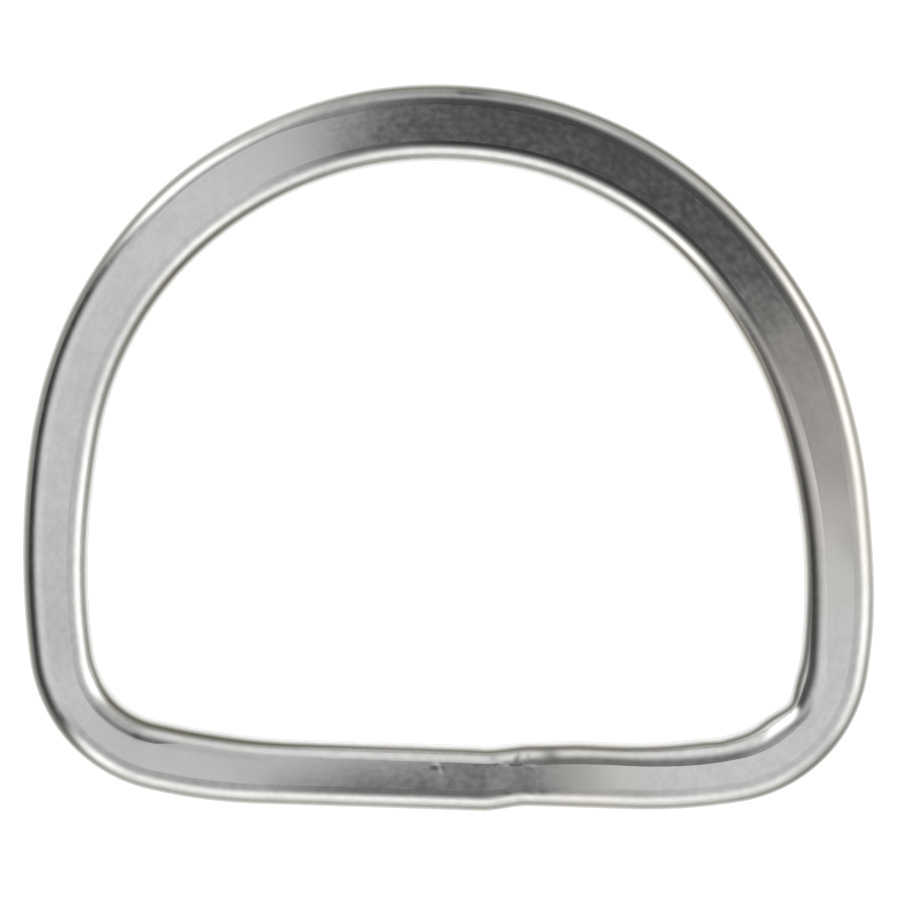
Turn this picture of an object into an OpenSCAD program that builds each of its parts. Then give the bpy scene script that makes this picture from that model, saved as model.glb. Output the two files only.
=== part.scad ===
// D ring for a 50 mm strap, lying on its side.
// One bent wire with a flat face above and below and rounded edges,
// closed into a ring by a weld in the straight bar.
// X runs along the bar, Y from the bar to the crown, Z through the wire.

/* [Opening] */

// Clear width inside the ring, from side to side
opening_w = 50; // [44:0.5:56]
// Clear height inside the ring, from the bar right of the weld to the crown
opening_h = 40.2; // [37:0.2:46]
// How far the top of the crown stands left of the middle of the opening
crown_shift = 0.6; // [0:0.1:1.6]

/* [Wire] */

// Thickness of the wire between its two flat faces
wire_t = 4; // [3.4:0.1:4.8]
// Width of the wire at the top of the crown
crown_w = 5.35; // [4.4:0.05:6]
// Width of the wire at the left side
left_w = 4.55; // [4:0.05:5.6]
// Width of the wire at the right side
right_w = 4.9; // [4.2:0.05:5.6]
// Width of the wire along the bar
bar_w = 4.55; // [4:0.05:5.6]
// Radius of the rounding along the edges of both faces
edge_r = 1.2; // [0.6:0.05:1.6]

/* [Weld] */

// Distance of the weld to the right of the top of the crown
weld_x = 4.7; // [-5:0.1:8]
// Length of bar that the weld takes up
weld_len = 1.7; // [1:0.1:3]
// How much lower the left end of the wire meets the right one
weld_step = 0.45; // [0.1:0.05:0.8]

/* [Outside line] */

// Radius of the crown, as a share of the reach from its top to the left side
out_crown = 0.997; // [0.92:0.001:1]
// Radius of the left side
out_left_r = 60; // [50:0.5:70]
// Radius of the right side
out_right_r = 40; // [36:0.5:48]
// Radius of the two lower corners
out_corner_r = 10.75; // [9:0.25:13]
// Radius of the slow bend between a corner and the bar
out_heel_r = 38.5; // [30:0.5:50]
// Angle that the slow bend turns through
out_heel_turn = 11.5; // [7:0.5:15]

/* [Inside line] */

// Radius of the crown, as a share of the reach from its top to the left side
in_crown = 0.995; // [0.92:0.001:1]
// Radius of the left side
in_left_r = 50; // [42:0.5:60]
// Radius of the right side
in_right_r = 39.5; // [34:0.5:48]
// Radius of the two lower corners
in_corner_r = 5.75; // [4.5:0.25:8]
// Radius of the slow bend between a corner and the bar
in_heel_r = 49; // [38:0.5:60]
// Angle that the slow bend turns through
in_heel_turn = 11.5; // [7:0.5:15]

/* [Hidden] */

$fn = 180;
// Depth by which the rims reach into the flat band, more than the step at the weld
lap = 2 * weld_step + 0.1;
// Length by which the straight pieces of the bar reach into the weld
weld_lap = weld_len / 8;
// Largest angle between two points of the flat band's edge
band_turn = 4;
// Smallest parts of a degree and of a millimetre that are kept in a figure
degree_part = 0.001;
coarse_part = 0.01;
// Reach of both lines from under the top of the crown
in_left = opening_w / 2 - crown_shift;
in_right = opening_w / 2 + crown_shift;
out_left = in_left + left_w;
out_right = in_right + right_w;
// Heights above the inner edge of the bar right of the weld
out_top = opening_h + crown_w;
out_bar = -bar_w;
weld_a = weld_x - weld_len / 2;
weld_b = weld_x + weld_len / 2;
// Middle of the ring, which comes over the origin
mid_x = (out_right - out_left) / 2;
mid_y = (out_top + out_bar - weld_step) / 2;

function to_part(v, part) = round(v / part) * part;

function toward(angle) = [cos(angle), sin(angle)];

// Arcs of the right half of a line round the ring, from the bar up to the crown,
// each as its centre, its radius and the angles between which it runs
function half_line(reach, top, crown, side, corner, heel, turn, bar_y) =
  let (
    crown_c = [0, top - crown],
    join = to_part(acos((side - reach) / (side - crown)), degree_part),
    side_c = crown_c - (side - crown) * toward(join),
    corner_y = bar_y + heel - (heel - corner) * cos(turn),
    meet = to_part(-asin((side_c[1] - corner_y) / (side - corner)), degree_part),
    corner_c = side_c + (side - corner) * toward(meet),
    heel_c = corner_c - (heel - corner) * toward(turn - 90)
  )
  [
    [heel_c, heel, -90, turn - 90],
    [corner_c, corner, turn - 90, meet],
    [side_c, side, meet, join],
    [crown_c, crown, join, 90]
  ];

// The arcs of a whole line, running round the ring from the right end of the bar:
// the left half is mirrored, and the two quarters of the crown become one arc
function whole_line(right, left) =
  let (n = len(right) - 1)
  concat(
    [for (i = [0:n - 1]) right[i]],
    [[right[n][0], right[n][1], right[n][2], 180 - left[n][2]]],
    [for (i = [n - 1:-1:0]) [[-left[i][0][0], left[i][0][1]], left[i][1],
      180 - left[i][3], 180 - left[i][2]]]
  );

out_arcs = whole_line(
  half_line(out_right, out_top, out_crown * out_left, out_right_r,
    out_corner_r, out_heel_r, out_heel_turn, out_bar),
  half_line(out_left, out_top, out_crown * out_left, out_left_r,
    out_corner_r, out_heel_r, out_heel_turn, out_bar - weld_step));
in_arcs = whole_line(
  half_line(in_right, opening_h, in_crown * in_left, in_right_r,
    in_corner_r, in_heel_r, in_heel_turn, 0),
  half_line(in_left, opening_h, in_crown * in_left, in_left_r,
    in_corner_r, in_heel_r, in_heel_turn, -weld_step));

// The straight pieces of a line along the bar, each as its left end,
// its length and its height: left of the weld, the weld, right of the weld
function bar_pieces(arcs) =
  let (
    left = arcs[len(arcs) - 1],
    right = arcs[0],
    left_y = left[0][1] - left[1],
    right_y = right[0][1] - right[1],
    left_len = to_part(weld_a - left[0][0] + weld_lap, coarse_part),
    right_len = to_part(right[0][0] - weld_b + weld_lap, coarse_part)
  )
  [
    [left[0][0], left_len, left_y],
    [weld_a, weld_len, (left_y + right_y) / 2],
    [right[0][0] - right_len, right_len, right_y]
  ];

// Area inside a line moved outwards by a distance, with short straight edges
module line_area(arcs, grow) {
  pieces = bar_pieces(arcs);
  polygon(concat(
    [for (a = arcs, n = ceil((a[3] - a[2]) / band_turn), i = [0:n - 1])
      a[0] + (a[1] + grow) * toward(a[2] + (a[3] - a[2]) * i / n)],
    [for (b = [pieces[0], pieces[2]], x = [b[0], b[0] + b[1]]) [x, b[2] - grow]]));
}

// Flat middle of the wire all round the ring, ending inside the rims
module flat_band() {
  linear_extrude(height = wire_t)
    difference() {
      line_area(out_arcs, -edge_r - lap / 2);
      line_area(in_arcs, edge_r + lap / 2);
    }
}

// Section of a rounded rim, its outermost point at x = 0,
// reaching from there to -x for side = 1 and to +x for side = -1
module rim_section(side) {
  depth = edge_r + lap;
  translate([side > 0 ? -depth : 0, edge_r])
    square([depth, wire_t - 2 * edge_r]);
  translate([side > 0 ? -depth : edge_r, 0])
    square([lap, wire_t]);
  for (z = [0, wire_t - edge_r])
    intersection() {
      translate([-side * edge_r, z > 0 ? z : edge_r])
        circle(r = edge_r);
      translate([side > 0 ? -edge_r : 0, z])
        square(edge_r);
    }
}

// Moves by a coarse and a fine step, so that arcs meet without a gap
module place(p) {
  coarse = [for (v = p) to_part(v, coarse_part)];
  translate(coarse)
    translate(p - coarse)
      children();
}

// Rounded rim along a whole line, outside for side = 1 and inside for side = -1
module rim(arcs, side) {
  for (a = arcs)
    place([a[0][0], a[0][1], 0])
      rotate_extrude(angle = a[3] - a[2], start = a[2])
        place([a[1], 0])
          rim_section(side);
  for (b = bar_pieces(arcs))
    place([b[0], b[2], 0])
      rotate([90, 0, 90])
        linear_extrude(height = b[1])
          rim_section(-side);
}

module d_ring() {
  color("silver")
    translate([-mid_x, -mid_y, 0]) {
      flat_band();
      rim(out_arcs, 1);
      rim(in_arcs, -1);
    }
}

d_ring();
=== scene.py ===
import math

import bpy
import numpy as np
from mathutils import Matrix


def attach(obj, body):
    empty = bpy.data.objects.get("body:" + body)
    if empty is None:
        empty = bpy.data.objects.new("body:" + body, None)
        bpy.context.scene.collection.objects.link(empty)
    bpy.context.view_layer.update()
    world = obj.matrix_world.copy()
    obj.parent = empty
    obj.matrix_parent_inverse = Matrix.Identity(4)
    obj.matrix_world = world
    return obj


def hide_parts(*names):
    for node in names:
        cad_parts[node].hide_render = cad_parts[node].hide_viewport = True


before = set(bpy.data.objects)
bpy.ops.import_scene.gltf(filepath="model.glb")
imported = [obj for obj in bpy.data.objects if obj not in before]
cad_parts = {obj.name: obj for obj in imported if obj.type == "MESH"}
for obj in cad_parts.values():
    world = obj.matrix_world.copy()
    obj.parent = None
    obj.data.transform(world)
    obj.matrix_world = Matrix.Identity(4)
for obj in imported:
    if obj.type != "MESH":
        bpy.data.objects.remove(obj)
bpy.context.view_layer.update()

# The ring. One length of round steel wire, pressed flat above and below and bent round a D-shaped
# former until its two ends meet in the bar, where they are butt welded. Then it is nickel plated.
# It lies flat on the floor. Sizes are in millimetres, as the former is marked.
opening_height = 40.2
left_reach, right_reach = 24.4, 25.6
crown_wire, left_wire, right_wire, bar_wire = 5.35, 4.55, 4.9, 4.55
wire_thickness = 4.0
weld_at, weld_step = 4.7, 0.45
step_start, step_end = 3.5, 6.9
middle = np.array([0.775, 20.2745])

# The bend's radii: the crown, the side, the lower corner, and the heel, a slow bend that turns a few
# degrees before the bar.
inner_crown = 0.995 * left_reach
outer_crown = 0.997 * (left_reach + left_wire)
inner_right, inner_left = (inner_crown, 39.5, 5.75, 49), (inner_crown, 50, 5.75, 49)
outer_right, outer_left = (outer_crown, 40, 10.75, 38.5), (outer_crown, 60, 10.75, 38.5)
heel_turn = 11.5


def toward(degrees):
    """A step of length one in a direction, in degrees from +X."""
    return np.array([math.cos(math.radians(degrees)), math.sin(math.radians(degrees))])


def half_line(reach, top, bar, radii):
    """The arcs of one half, from the bar up to the crown: centre, radius, first and last angle."""
    crown, side, corner, heel = radii
    crown_at = np.array([0.0, top - crown])
    join = math.degrees(math.acos((side - reach) / (side - crown)))
    side_at = crown_at - (side - crown) * toward(join)
    heel_y = bar + heel - (heel - corner) * math.cos(math.radians(heel_turn))
    meet = -math.degrees(math.asin((side_at[1] - heel_y) / (side - corner)))
    corner_at = side_at + (side - corner) * toward(meet)
    heel_at = corner_at - (heel - corner) * toward(heel_turn - 90)
    return [
        (heel_at, heel, -90, heel_turn - 90),
        (corner_at, corner, heel_turn - 90, meet),
        (side_at, side, meet, join),
        (crown_at, crown, join, 90),
    ]


# Stations on the bar right of the weld, then on each arc up to the crown, and down the other side.
bar_right_count, arc_counts, bar_left_count = 70, (60, 84, 150, 120), 150


def bar_edge(x, bar):
    """The bar's edge: the end left of the weld sits lower, and the weld eases over to the right end."""
    past = np.clip((x - step_start) / (step_end - step_start), 0, 1)
    return np.stack([x, bar - weld_step * (1 - past * past * (3 - 2 * past))], 1)


def round_the_ring(right, left, bar):
    """A closed line from the weld over the right limb, the crown and the left limb back to the weld."""
    up = []
    for (centre, radius, first, last), count in zip(right, arc_counts):
        for angle in np.linspace(first, last, count, endpoint=False):
            up.append(centre + radius * toward(angle))
    down = []
    for (centre, radius, first, last), count in zip(reversed(left), reversed(arc_counts)):
        for angle in np.linspace(last, first, count, endpoint=False):
            down.append((centre + radius * toward(angle)) * (-1, 1))
    bar_right = np.linspace(weld_at, right[0][0][0], bar_right_count, endpoint=False)
    bar_left = np.linspace(-left[0][0][0], weld_at, bar_left_count, endpoint=False)
    return np.array([*bar_edge(bar_right, bar), *up, *down, *bar_edge(bar_left, bar)]) - middle


def ways(line):
    """At each point of a closed line, the way along it and the way out from it."""
    run = np.roll(line, -1, 0) - np.roll(line, 1, 0)
    run /= np.linalg.norm(run, axis=1)[:, None]
    return run, np.stack([run[:, 1], -run[:, 0]], 1)


def push_out(line, *bends):
    """Bends of a line: the bearing from the ring's middle, half the spread, and how far out."""
    bearing = np.degrees(np.arctan2(line[:, 1], line[:, 0]))
    amount = np.zeros(len(line))
    for at, spread, far in bends:
        turn = (bearing - at + 180) % 360 - 180
        amount += far * np.exp(-((turn / spread) ** 2))
    return line + ways(line)[1] * amount[:, None]


crown_top = opening_height + crown_wire
outer = round_the_ring(
    half_line(right_reach + right_wire, crown_top, -bar_wire, outer_right),
    half_line(left_reach + left_wire, crown_top, -bar_wire - weld_step, outer_left),
    -bar_wire,
)
inner = round_the_ring(
    half_line(right_reach, opening_height, 0.0, inner_right),
    half_line(left_reach, opening_height, -weld_step, inner_left),
    0.0,
)
outer = push_out(
    outer,
    (18, 11, 0.25), (-10, 9, -0.2), (178, 11, -0.1),
    (138, 12, 0.12), (90, 14, -0.08), (-152, 9, 0.04),
)
inner = push_out(
    inner,
    (152, 18, 0.12), (-176, 9, -0.12), (27, 11, -0.12),
    (90, 14, -0.08), (-25, 8, -0.05), (-152, 9, 0.08),
)
inner = push_out(inner, (-75, 6, 0.1), (-64, 5, -0.08), (-50, 7, 0.07), (-131, 9, -0.07))
# Inside the lower right corner the bender's pin left a pocket, with a low ridge on each side of it.
pinned = push_out(inner, (-35.5, 1.6, 0.24), (-39.3, 2, -0.12), (-31.7, 2, -0.1), (-45.5, 1.5, 0.1))

# Places on the ring, one for each part: 0 bar right of the weld, 1 heel, 2 corner, 3 limb, 4 and 5
# crown, 6 limb, 7 corner, 8 heel, 9 bar left of the weld.
part_counts = [bar_right_count, *arc_counts, *reversed(arc_counts), bar_left_count]
place = np.concatenate([part + np.arange(count) / count for part, count in enumerate(part_counts)])
stations = len(place)


def from_table(at, *rows):
    """Reads a table of (position, amount) rows, straight between one row and the next."""
    positions, amounts = zip(*rows)
    return np.interp(at, positions, amounts)


def eased(values, weights):
    """A running mean round the ring."""
    half = len(weights) // 2
    return np.convolve(np.r_[values[-half:], values, values[:half]], weights, "valid")


# A middle line, and at each station of it the inner and outer lines where they cross square to it.
bell = np.hanning(33)
centre = np.stack([eased(part, bell / bell.sum()) for part in ((inner + outer) / 2).T], 1)
run, out = ways(centre)
out_of_reach = 99


def crossing(line):
    """The line's points that lie straight out or in from the stations of the middle line."""
    ahead = ((line[None] - centre[:, None]) @ run[:, :, None])[:, :, 0]
    aside = ((line[None] - centre[:, None]) @ out[:, :, None])[:, :, 0]
    next_ahead, next_aside = np.roll(ahead, -1, 1), np.roll(aside, -1, 1)
    share = ahead / np.where(ahead == next_ahead, 1, ahead - next_ahead)
    reach = aside + share * (next_aside - aside)
    reach = np.where((ahead <= 0) & (next_ahead > 0), reach, out_of_reach)
    nearest = np.abs(reach).argmin(1)
    return centre + out * reach[np.arange(stations), nearest][:, None]


unpinned, inner, outer = crossing(inner), crossing(pinned), crossing(outer)

# The flat face leans a little where the bend squeezed the inner edge thicker than the outer one,
# and both ends at the weld went in with a slight twist the other way. Degrees, outwards.
lean = from_table(
    place,
    (0, -4.95), (0.08, -5.12), (0.18, -4.8), (0.3, -4.55), (0.5, -4.1), (0.9, -3.5), (1.1, -2.8),
    (1.3, -1.8), (1.5, -1.2), (2.2, 0), (2.7, 1.0), (3.2, 1.7), (3.3, 2.2), (3.4, 3.1), (3.6, 3.3),
    (3.85, 2.7), (4.05, 2.4), (4.25, 3.0), (4.9, 3.1), (5.05, 3.0), (5.25, 2.2), (5.35, 1.7),
    (5.45, 1.0), (5.6, 0.6), (6.5, 0), (7.0, -1.5), (7.3, -3.0), (7.6, -3.4), (8.3, -3.4),
    (8.9, -3.9), (9.2, -4.3), (9.4, -4.5), (9.7, -4.6), (9.9, -4.7), (10, -4.95),
)
lean = eased(lean, np.ones(17) / 17)

# The rounded edges: their radius, and the slope at which each one starts beside the flat face. The
# roller left the inner edge rounder along the bar and in the two lower corners.
inner_round = from_table(
    place,
    (0, 2.1), (0.5, 1.85), (1.0, 1.75), (1.5, 2.0), (1.8, 2.15), (2.4, 2.2), (2.9, 2.3), (3.0, 2.05),
    (3.1, 1.8), (3.3, 1.6), (5.5, 1.55), (7.0, 1.55), (7.3, 1.9), (7.5, 2.1), (10, 2.1),
)
inner_round = eased(inner_round, np.ones(13) / 13)
outer_round = 1.6
inner_edge = from_table(
    place,
    (0, 27), (0.1, 22), (0.35, 12), (0.8, 9), (2.4, 13), (2.6, 12), (3, 8), (4.0, 6), (4.2, 9),
    (5.1, 9), (5.3, 4), (6.1, 4), (6.4, 8), (7.2, 9), (7.5, 14), (8.0, 16), (8.2, 26), (10, 27),
)
outer_edge = from_table(place, (5.2, 4), (5.3, 14), (5.55, 14), (5.65, 4))
inner_edge, outer_edge = np.radians(inner_edge), np.radians(outer_edge)
under_round, under_edge = 1.2, math.radians(3.0)
across = outer - inner
wire_width = np.linalg.norm(across, axis=1)
across /= wire_width[:, None]
# The pin only marked the edge, so the face's own line runs past the pocket as before.
inner_round -= ((inner - unpinned) * across).sum(1) / (1 - np.sin(inner_edge))

# The squeeze left the face a few thousandths hollow at the crown's left end and left of the weld.
hollow = from_table(
    place,
    (4.9, 0), (5.1, 0.003), (5.3, 0.003), (5.5, 0), (8.6, 0), (9.0, 0.003), (9.7, 0.003), (10, 0),
)
face_start = inner_round * (1 - np.sin(inner_edge))
face_width = wire_width - face_start - outer_round * (1 - np.sin(outer_edge))
drop = face_width * np.tan(np.radians(lean))
inner_top = wire_thickness - np.maximum(-drop, 0)
outer_top = wire_thickness - np.maximum(drop, 0)

# One section of the wire, a column for each point of it. The face stops a hair short of its creases.
face_steps, round_steps, under_steps = 12, 22, 6
thirds = (1 / 3, 2 / 3)
crease_gap = 0.004
columns = []


def column(sideways, upward, slope):
    """Adds a point at every station: how far out from the inner line, how high, and its slope."""
    columns.append([part + np.zeros(stations) for part in (sideways, upward, slope)])


def rounded_edge(radius, edge, share):
    """How far in from the side, how far below the face, and the slope, at a share of the edge's turn."""
    slope = edge + share * (math.pi / 2 - edge)
    return radius * (1 - np.sin(slope)), radius * (np.cos(edge) - np.cos(slope)), slope


for share in np.linspace(crease_gap, 1 - crease_gap, face_steps + 1):
    dip = 4 * share * (1 - share) * hollow
    column(face_start + share * face_width, inner_top + share * (outer_top - inner_top) - dip, 0)
creases = [len(columns)]
for share in np.linspace(0, 1, round_steps + 1):
    inset, down, slope = rounded_edge(outer_round, outer_edge, share)
    column(wire_width - inset, outer_top - down, slope)
side_foot = under_round * math.cos(under_edge)
side_top = outer_top - outer_round * np.cos(outer_edge)
for share in thirds:
    column(wire_width, side_top + share * (side_foot - side_top), math.pi / 2)
for share in np.linspace(1, 0, under_steps + 1):
    inset, up, slope = rounded_edge(under_round, under_edge, share)
    column(wire_width - inset, up, math.pi - slope)
# The measure round the wire starts again between the two columns of the underside.
seam = len(columns)
for share in thirds:
    column(wire_width - under_round - share * (wire_width - 2 * under_round), 0, math.pi)
for share in np.linspace(0, 1, under_steps + 1):
    inset, up, slope = rounded_edge(under_round, under_edge, share)
    column(inset, up, slope - math.pi)
side_top = inner_top - inner_round * np.cos(inner_edge)
for share in thirds:
    column(0, side_foot + share * (side_top - side_foot), -math.pi / 2)
for share in np.linspace(1, 0, round_steps + 1):
    inset, down, slope = rounded_edge(inner_round, inner_edge, share)
    column(inset, inner_top - down, -slope)
creases.append(len(columns) - 1)
ring_of = len(columns)

# Each number of the columns, by station and then round the section.
sideways, upward, slope = np.array(columns).transpose(1, 2, 0)
points = np.dstack([inner[:, None] + across[:, None] * sideways[:, :, None], upward])
facing = np.dstack([across[:, None] * np.sin(slope)[:, :, None], np.cos(slope)])
steepness = np.abs(slope)
tilt = np.degrees(steepness)
over = sideways - wire_width[:, None] / 2
inward = wire_width[:, None] / 2 - np.abs(over)
outside = over > 0

# The way round the section, from the middle of the upper face to the middle of the underside.
section = np.stack([sideways, upward], 2)
paces = np.linalg.norm(np.roll(section, -1, 1) - section, axis=2)
girth = paces.sum(1)
around = np.cumsum(paces, 1) - paces + over[:, :1]
around[:, seam + 1 :] -= girth[:, None]

# Marks sit on the upper half of the wire only, and one that keeps to a slope fades in over some degrees.
marks_above, fade = 1.4, 6


def oval(x, y, length, breadth, turn):
    """How much of a mark each point gets: a soft oval round (x, y), turned by turn degrees."""
    east, north = points[:, :, 0] - x, points[:, :, 1] - y
    c, s = toward(turn)
    lengthways, crossways = east * c + north * s, north * c - east * s
    near = np.exp(-((lengthways / length) ** 2) - (crossways / breadth) ** 2)
    return near * (points[:, :, 2] > marks_above)


def swell(x, y, length, breadth, height, turn=0, steeper_than=-90):
    """Raises or sinks the surface on an oval, or only its part that is steeper than so many degrees."""
    amount = height * oval(x, y, length, breadth, turn) * np.clip((tilt - steeper_than) / fade, 0, 1)
    points[:] = points + facing * amount[:, :, None]


# A nick from the clamp in the bar's face, with the burr beside it.
swell(-0.48, -22.15, 0.32, 0.13, -0.006)
swell(-0.1, -22.31, 0.16, 0.26, 0.004, 20)
# The upset metal of the weld on the inner and the outer rounding.
swell(4.4, -21.45, 0.3, 0.3, 0.014)
swell(5.1, -21.6, 0.2, 0.45, -0.006, -20, 14)
swell(6.3, -21.4, 0.35, 0.3, 0.014)
swell(7.3, -21.35, 0.5, 0.4, -0.008, 0, 14)
swell(4.87, -23.95, 0.4, 0.35, 0.05, 0, 8)
swell(6.26, -23.95, 0.4, 0.35, 0.04, 0, 8)
# A small dent on the right of the crown.
swell(13.55, 19.95, 0.09, 0.3, -0.006, 56)
points[:, :, 2] = np.minimum(points[:, :, 2], wire_thickness)


# From here on the surface counts as the upright side of the wire.
upright = 89


def by_place(*rows):
    """A number for each station, read from a table by its place on the ring."""
    return from_table(place, *rows)[:, None]


def stripe(at, half, *rows):
    """A soft stripe of painted shade along the wire: how far in from the side it runs and half its width.
    """
    return np.exp(-(((inward - at) / half) ** 2)) * (tilt < upright) * by_place(*rows)


# Painted shade standing in for dark reflections and the shade beside the ring: a line just below the face,
# deepest round the crown, and lines lower down on the roundings of the limbs and the corners.
below_face = from_table(tilt, (1, 0), (3.5, 1), (16, 1), (31, 0))
outer_line = by_place(
    (0, 0.7), (0.3, 0.65), (0.5, 0.4), (0.7, 0.15), (0.9, 0.05), (3.5, 0), (3.8, 0.35), (4.1, 0.8),
    (4.3, 0.88), (4.7, 0.84), (4.9, 0.7), (5.0, 0.6), (5.06, 0.4), (5.15, 0), (8.9, 0.05),
    (9.1, 0.35), (9.3, 0.6), (10, 0.7),
)
inner_line = by_place(
    (3.5, 0), (3.8, 0.4), (4.1, 0.85), (4.2, 0.95), (5.0, 0.95), (5.2, 0.75), (5.3, 0.3), (5.4, 0),
)
outer_painted_shade = [
    below_face * outer_line,
    stripe(
        0.5, 0.22,
        (5.58, 0), (5.7, 0.55), (5.9, 0.56), (6.2, 0.68), (6.6, 0.82), (7.35, 0.84), (7.45, 0.8),
        (7.55, 0.5), (7.65, 0),
    ),
    stripe(0.7, 0.25, (4.7, 0), (4.85, 0.5), (4.95, 0.57), (5.05, 0.5), (5.2, 0.35), (5.27, 0)),
    stripe(
        0.65, 0.35,
        (2.2, 0), (2.35, 0.4), (2.55, 0.4), (2.7, 0), (7.3, 0), (7.38, 0.7), (7.5, 0.5), (7.7, 0),
    ),
]
inner_painted_shade = [
    below_face * inner_line,
    stripe(
        0.4, 0.22,
        (2.62, 0), (2.7, 0.5), (3.0, 0.58), (3.2, 0.72), (3.6, 0.7), (3.8, 0.42), (4.05, 0),
    ),
    stripe(0.95, 0.3, (2.9, 0), (3.1, 0.28), (3.3, 0.3), (3.6, 0.32), (3.9, 0.2), (4.0, 0)),
    stripe(1.0, 0.35, (7.33, 0), (7.45, 0.2), (7.8, 0.15), (7.95, 0)),
    stripe(
        1.4, 0.18,
        (1.8, 0), (2.0, 0.25), (2.2, 0.2), (2.4, 0.4), (2.65, 0.5), (2.8, 0), (7.4, 0), (7.5, 0.45),
        (7.9, 0.5), (8.0, 0.16), (8.7, 0.13), (9.1, 0),
    ),
]
painted_shade = np.where(outside, np.maximum.reduce(outer_painted_shade), np.maximum.reduce(inner_painted_shade))
# The face of the left limb gets a little painted shade all over.
painted_shade += from_table(tilt, (0, 1), (6, 1), (14, 0)) * by_place(
    (5.6, 0), (5.8, 0.05), (6.1, 0.03), (6.5, 0.08), (6.9, 0.12), (7.1, 0.06), (7.3, 0),
)


def shade_spot(x, y, length, breadth, amount, turn=0):
    """Paints a spot of shade on an oval."""
    painted_shade[:] = np.clip(painted_shade + amount * oval(x, y, length, breadth, turn), 0, 1)


# Painted shade beside the clamp's nick, where its shadow falls, and round the weld.
shade_spot(-0.5, -22.16, 0.28, 0.1, 0.3)
shade_spot(3.5, -21.5, 0.4, 0.22, 0.35)
shade_spot(5.12, -21.5, 0.18, 0.45, 0.6, -20)
shade_spot(5.9, -21.25, 0.14, 0.2, 0.3)
shade_spot(7.4, -21.4, 0.7, 0.3, 0.4)
shade_spot(7.45, -21.0, 0.6, 0.3, 0.45)
shade_spot(6.95, -23.8, 0.3, 0.2, 0.25)
# Painted dark spots in the lower left corner, on the left limb, and on the top of the crown.
shade_spot(-21.32, -20.7, 0.35, 0.3, 0.3, -40)
shade_spot(-26.7, -13.54, 0.25, 0.2, 0.12)
shade_spot(0.7, 24.6, 1.1, 0.25, 0.3)
shade_spot(-0.2, 24.6, 0.3, 0.2, 0.2)

# Painted shade on the sides, standing in for the reflection of the shaded floor: darker from a third of a
# millimetre in, and lighter again at the very edge.
outer_side_shade = stripe(
    by_place((4.1, 0.3), (4.25, 0.33), (4.5, 0.32), (4.75, 0.34), (5.2, 0.34), (5.4, 0.3)),
    0.25,
    (0, 0.75), (0.3, 0.75), (1, 0.72), (1.8, 0.74), (2.4, 0.9), (2.9, 0.82), (3.3, 0.65), (3.8, 0.72),
    (4.1, 0.92), (4.3, 0.98), (4.6, 0.93), (5.1, 0.88), (5.3, 0.7), (5.6, 0.8), (5.9, 0.7),
    (7.2, 0.7), (7.5, 0.85), (7.9, 0.72), (8.4, 0.7), (9, 0.72), (9.5, 0.7), (10, 0.75),
)
inner_side_shade = stripe(
    by_place(
        (0, 0.38), (2.0, 0.36), (2.4, 0.29), (5.5, 0.26), (7.2, 0.24), (7.5, 0.4), (8.5, 0.4),
        (9.2, 0.36), (10, 0.38),
    ),
    by_place(
        (5.3, 0.2), (5.5, 0.25), (5.8, 0.25), (6.0, 0.2), (7.3, 0.2), (7.5, 0.25), (8.6, 0.25),
        (9.2, 0.2),
    ),
    (0, 0.9), (0.3, 0.92), (1, 0.88), (1.8, 0.9), (2.4, 0.92), (2.9, 0.88), (3.3, 0.65), (3.8, 0.75),
    (4.1, 0.93), (4.3, 0.97), (4.6, 0.82), (5.0, 0.72), (5.2, 0.84), (5.4, 0.93), (5.6, 1),
    (5.9, 0.86), (6.5, 0.75), (7.2, 0.87), (7.5, 1), (8.4, 1), (9.0, 0.97), (9.5, 0.87), (10, 0.9),
)
upright_shade = 0.6
# The upright part of each side gets a fixed share of the painted shade.
side = np.where(tilt > upright, upright_shade, np.where(outside, outer_side_shade, inner_side_shade))

# A faint yellow film on the plate, right of the weld and where the right limb meets the crown.
film = np.broadcast_to(
    by_place(
        (0, 0.1), (0.5, 0.3), (0.9, 0.4), (1.4, 0), (3.1, 0), (3.4, 0.5), (3.9, 0.6), (4.2, 0.3),
        (4.6, 0),
    ),
    painted_shade.shape,
)

# The mesh: a face between each two stations and columns, with a crease along both sides of the face.
i, k = np.meshgrid(np.arange(stations), np.arange(ring_of), indexing="ij")
i1, k1 = (i + 1) % stations, (k + 1) % ring_of
corners = [i * ring_of + k, i * ring_of + k1, i1 * ring_of + k1, i1 * ring_of + k]
metres = 0.001
vertices, faces = points.reshape(-1, 3) * metres, np.stack(corners, -1).reshape(-1, 4)
mesh = bpy.data.meshes.new("d_ring_wire")
mesh.from_pydata(vertices.tolist(), [], faces.tolist())
mesh.update()
mesh.shade_smooth()
ends = np.empty(len(mesh.edges) * 2, int)
mesh.edges.foreach_get("vertices", ends)
from_column, to_column = (ends.reshape(-1, 2) % ring_of).T
crease = (from_column == to_column) & np.isin(from_column, creases)
mesh.attributes.new("sharp_edge", "BOOLEAN", "EDGE").data.foreach_set("value", crease)

# The wire's own measure on its surface: along it from the weld, round it, and its slope.
mid_line = (inner + outer) / 2
travelled = np.concatenate([[0], np.cumsum(np.linalg.norm(np.diff(mid_line, axis=0), axis=1))])
whole_way = travelled[-1] + np.linalg.norm(mid_line[0] - mid_line[-1])
corner_vertex = np.empty(len(mesh.loops), int)
mesh.loops.foreach_get("vertex_index", corner_vertex)
corner_station, corner_column = corner_vertex // ring_of, corner_vertex % ring_of
face_number = np.arange(len(mesh.loops)) // 4
at_weld = (face_number // ring_of == stations - 1) & (corner_station == 0)
past_seam = (face_number % ring_of == seam) & (corner_column == seam + 1)
along = np.where(at_weld, whole_way, travelled[corner_station])
round_it = around[corner_station, corner_column] + past_seam * girth[corner_station]
measure = np.stack([along, round_it, steepness[corner_station, corner_column]], -1)
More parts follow.
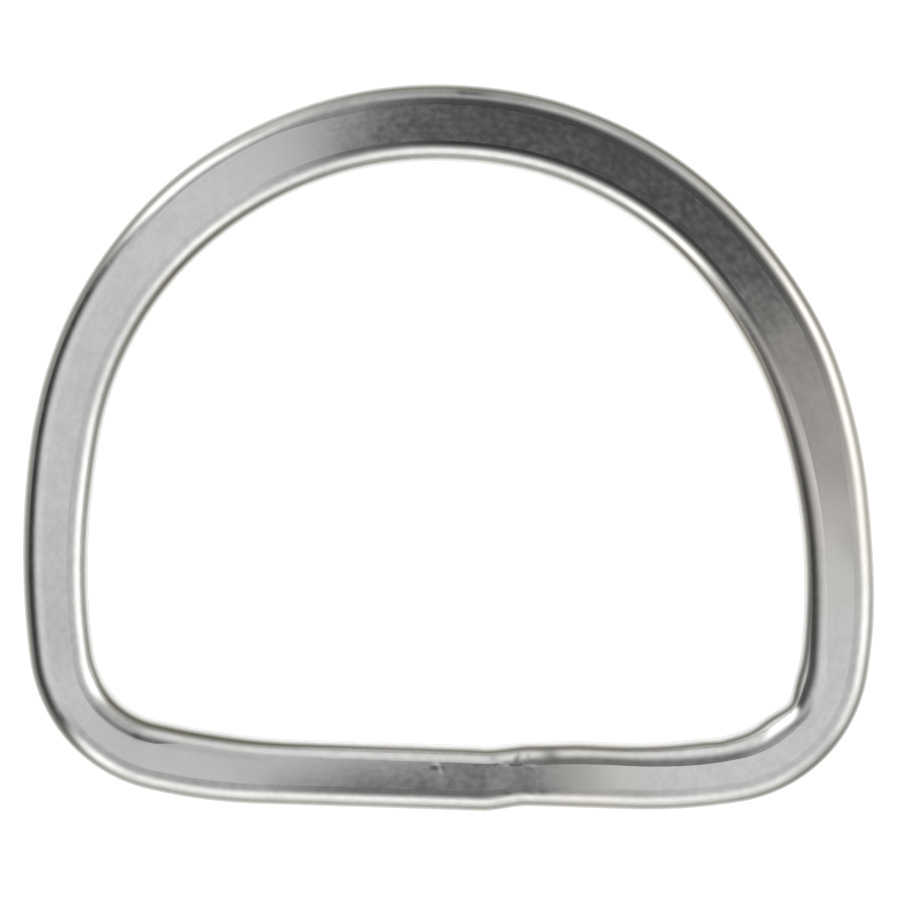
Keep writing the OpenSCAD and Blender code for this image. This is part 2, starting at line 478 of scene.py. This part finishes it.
# Per point: the painted shade, the painted shade of the sides, and the yellow film.
wear = np.stack([painted_shade, side, film], -1)
for name, domain, vectors in (("wire", "CORNER", measure), ("wear", "POINT", wear)):
    layer = mesh.attributes.new(name, "FLOAT_VECTOR", domain)
    layer.data.foreach_set("vector", vectors.astype(np.float32).ravel())

ring = bpy.data.objects.new("d_ring_wire", mesh)
bpy.context.scene.collection.objects.link(ring)


class Value:
    """A value, colour or vector on its way through the nodes of a material or of the world."""

    def __init__(self, tree, socket=None):
        self.tree = tree
        self.socket = socket

    def node(self, kind, settings, sockets, out=0):
        """Makes a node: its settings first, then its sockets, and hands on one of its outputs."""
        made = self.tree.nodes.new(kind)
        for name, setting in settings.items():
            if name == "stops":
                ramp = made.color_ramp
                while len(ramp.elements) < len(setting):
                    ramp.elements.new(1.0)
                for stop, (position, grey) in zip(ramp.elements, setting):
                    stop.position = position
                for stop, (position, grey) in zip(ramp.elements, setting):
                    stop.color = (grey, grey, grey, 1.0)
            else:
                setattr(made, name, setting)
        for name, value in sockets.items():
            if isinstance(value, Value):
                self.tree.links.new(value.socket, made.inputs[name])
            else:
                made.inputs[name].default_value = value
        return Value(self.tree, made.outputs[out]) if made.outputs else None

    def math(self, operation, *values):
        return self.node("ShaderNodeMath", {"operation": operation}, dict(enumerate(values)))

    def __add__(self, other):
        return self.math("ADD", self, other)

    __radd__ = __add__

    def __sub__(self, other):
        return self.math("SUBTRACT", self, other)

    def __rsub__(self, other):
        return self.math("SUBTRACT", other, self)

    def __mul__(self, other):
        return self.math("MULTIPLY", self, other)

    __rmul__ = __mul__

    def __truediv__(self, other):
        return self.math("DIVIDE", self, other)

    def between(self, low, high):
        """0 below low, 1 above high, eased in between."""
        sockets = {"Value": self, "From Min": low, "From Max": high}
        return self.node("ShaderNodeMapRange", {"interpolation_type": "SMOOTHSTEP"}, sockets)

    def colour(self, at_none, at_full):
        """The colour between two, mixed by this value. A Mix node keeps its colours at 6 and 7."""
        settings = {"data_type": "RGBA"}
        return self.node("ShaderNodeMix", settings, {0: self, 6: at_none, 7: at_full}, 2)

    def part(self, which):
        """One of the three numbers of a vector."""
        return self.node("ShaderNodeSeparateXYZ", {}, {0: self}, which)

    def noise(self, stretch, detail):
        """Soft blotches from a vector, finer where it is stretched more."""
        vector = self.node("ShaderNodeVectorMath", {"operation": "MULTIPLY"}, {0: self, 1: stretch})
        return self.node("ShaderNodeTexNoise", {}, {"Vector": vector, "Scale": 1.0, "Detail": detail})


def cleared(owner):
    """Clears the nodes of a material or of the world and starts its expressions."""
    owner.use_nodes = True
    owner.node_tree.nodes.clear()
    return Value(owner.node_tree)


# Bright nickel plate over drawn wire: clean on the flat faces and the rounded edges. Painted shade makes
# it browner and darker low on the sides, standing in for the shaded floor they mirror, and dark toward
# black along the painted lines and spots.
greyer, brighter = (0.7, 0.698, 0.684, 1.0), (0.78, 0.778, 0.762, 1.0)
yellowed, side_shade_brown = (0.765, 0.712, 0.65, 1.0), (0.103, 0.098, 0.072, 1.0)
black = (0.0, 0.0, 0.0, 1.0)
relief = 0.000004
plate = bpy.data.materials.new("nickel_plate")
start = cleared(plate)
wire = start.node("ShaderNodeAttribute", {"attribute_name": "wire"}, {}, "Vector")
wear = start.node("ShaderNodeAttribute", {"attribute_name": "wear"}, {}, "Vector")
spot = start.node("ShaderNodeTexCoord", {}, {}, "Object")
along_it, slope = wire.part(0), wire.part(2)
painted_shade, painted_side_shade, film = wear.part(0), wear.part(1), wear.part(2)
die_lines = wire.noise((0.12, 5.0, 0.0), 3.0)
grain = wire.noise((1.6, 2.1, 0.0), 1.5)
cloud = spot.noise((500.0, 500.0, 500.0), 2.0)
rounded = slope.between(0.08, 0.3)
tone = (0.66 * grain + 0.6 * cloud - 0.13).between(0.3, 0.7)
clean = film.colour(tone.colour(greyer, brighter), yellowed)
# Painted shade: the sides mixed toward dark brown, the shade lines and spots toward black.
base = (0.93 * painted_shade).colour(painted_side_shade.colour(clean, side_shade_brown), black)
rough = 0.11 + 0.085 * (grain - 0.5) + 0.05 * (cloud - 0.5) + 0.06 * rounded + 0.15 * painted_side_shade
# The two ends at the weld keep more of the die's lines and less of the grain.
drawn = along_it.between(142, 150) + (1 - along_it.between(1, 6))
height = (grain - 0.5) * (0.05 - 0.02 * drawn) + (die_lines - 0.5) * (0.036 + 0.01 * drawn) * (1 - rounded)
bump = start.node("ShaderNodeBump", {}, {"Strength": 1.0, "Distance": relief, "Height": height})
finish = {"Base Color": base, "Metallic": 1.0, "Roughness": rough, "Normal": bump}
shader = start.node("ShaderNodeBsdfPrincipled", {}, finish)
start.node("ShaderNodeOutputMaterial", {}, {"Surface": shader})
mesh.materials.append(plate)

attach(ring, "root")
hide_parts("d_ring")

# The floor: a plain white board that the ring lies on, with a little light of its own, so that it
# stays nearly white. It is set a hair under the ring.
floor_half = 3.0
board = bpy.data.meshes.new("floor")
floor_corners = [(-floor_half, -floor_half, 0), (floor_half, -floor_half, 0)]
floor_corners += [(floor_half, floor_half, 0), (-floor_half, floor_half, 0)]
board.from_pydata(floor_corners, [], [(0, 1, 2, 3)])
floor = bpy.data.objects.new("floor", board)
floor.location.z = -0.00002
bpy.context.scene.collection.objects.link(floor)
paint = bpy.data.materials.new("floor_white")
start = cleared(paint)
cloud = start.node("ShaderNodeTexCoord", {}, {}, "Object").noise((8.0, 8.0, 8.0), 1.0)
finish = {
    "Base Color": cloud.between(0.2, 0.8).colour((0.74, 0.74, 0.74, 1.0), (0.76, 0.76, 0.76, 1.0)),
    "Roughness": 0.9,
    "Specular IOR Level": 0.0,
    "Emission Color": (1.0, 1.0, 1.0, 1.0),
    "Emission Strength": 0.8,
}
shader = start.node("ShaderNodeBsdfPrincipled", {}, finish)
start.node("ShaderNodeOutputMaterial", {}, {"Surface": shader})
board.materials.append(paint)

# The light: a soft white tent, open to a darker room on the picture's left and towards its top, with
# the dark front of the camera's hood near the middle of its roof. The camera itself sees plain white.
picture_turn = 1.84
roof_level, hood_drop, hood_bearing, hood_edge = 0.735, 0.665, 63, (4.2, 6.6)
roof_ends, near_ends = (11.5, 16.0), (35.0, 70.0)
far_wall_slant = 0.3
# Angles are degrees: the fall from straight up, and the bearing anticlockwise from the picture's right.
world = bpy.data.worlds.new("light_tent")
bpy.context.scene.world = world
start = cleared(world)
ray = start.node("ShaderNodeTexCoord", {}, {}, "Generated")
x, y, z = ray.part(0), ray.part(1), ray.part(2)
fall = start.math("ARCCOSINE", z) * math.degrees(1)
bearing = start.math("ARCTAN2", y, x) * math.degrees(1) - picture_turn
# The bright and dark parts of the far wall swing clockwise as they rise, most of all beyond the crown.
beyond_crown = start.math("MAXIMUM", start.math("SINE", bearing * math.radians(1)), 0.0)
aslant = bearing - far_wall_slant * (fall - near_ends[1]) * beyond_crown


def round_the_tent(bearing, *rows):
    """How bright the tent is round its wall, from rows of a bearing and a level, straight between."""
    stops = [((degrees + 180) / 360, level / 2) for degrees, level in rows]
    share = start.math("FRACT", bearing / 360 + 1.5)
    return 2 * start.node("ShaderNodeValToRGB", {"stops": stops}, {0: share})


far_wall = round_the_tent(
    aslant,
    (-180, 0.085), (-168, 0.15), (-145, 0.16), (-140, 1.2), (-135, 1.7), (-122, 1.4), (-112, 1.1),
    (-98, 1.25), (-90, 1.2), (-72, 1.0), (-62, 1.15), (-50, 1.45), (-38, 1.1), (-24, 1.05), (-6, 1.45),
    (7, 1.4), (15, 1.6), (31, 1.65), (37, 1.05), (43, 0.8), (52, 0.68), (64, 0.6), (73, 0.85),
    (100, 0.95), (110, 0.75), (117, 0.85), (122, 1.7), (138, 1.7), (144, 0.2), (149, 0.085),
    (180, 0.085),
)
near_wall = round_the_tent(
    bearing,
    (-180, 0.8), (-163, 0.84), (-150, 0.76), (-140, 0.55), (-105, 0.5), (-96, 0.44), (-91, 0.48),
    (-84, 0.66), (-70, 0.68), (-20, 0.62), (5, 0.6), (25, 0.5), (40, 0.48), (65, 0.46), (78, 0.24),
    (95, 0.18), (104, 0.32), (118, 0.45), (136, 0.42), (146, 0.8), (180, 0.8),
)
hood_x, hood_y = toward(hood_bearing + picture_turn)
toward_hood = (x * hood_x + y * hood_y) * math.degrees(1)
roof = roof_level - hood_drop * toward_hood.between(*hood_edge)
is_near = fall.between(*roof_ends)
is_far = fall.between(*near_ends)
tent = roof * (1 - is_near) + (near_wall * (1 - is_far) + far_wall * is_far) * is_near
plain = start.node("ShaderNodeLightPath", {}, {}, "Is Camera Ray")
strength = tent * (1 - plain) + plain
light = start.node("ShaderNodeBackground", {}, {"Color": (1.0, 1.0, 1.0, 1.0), "Strength": strength})
start.node("ShaderNodeOutputWorld", {}, {"Surface": light})

# The camera: a long lens straight above the ring, far enough off to give the picture's scale at the
# height of the wire's sides.
lens, sensor = 300.0, 36.0
picture_pixels, pixels_a_millimetre = 900, 14.384
picture_width = picture_pixels / pixels_a_millimetre * metres
camera = bpy.data.objects.new("camera", bpy.data.cameras.new("camera"))
bpy.context.scene.collection.objects.link(camera)
camera.data.lens = lens
camera.data.sensor_width = sensor
camera.data.clip_start, camera.data.clip_end = 0.01, 20.0
camera.location = (-0.000211, -0.000234, 0.0022 + picture_width * lens / sensor)
camera.rotation_euler = (0.0, 0.0, math.radians(picture_turn))
bpy.context.scene.camera = camera
bpy.context.scene.view_settings.view_transform = "Standard"
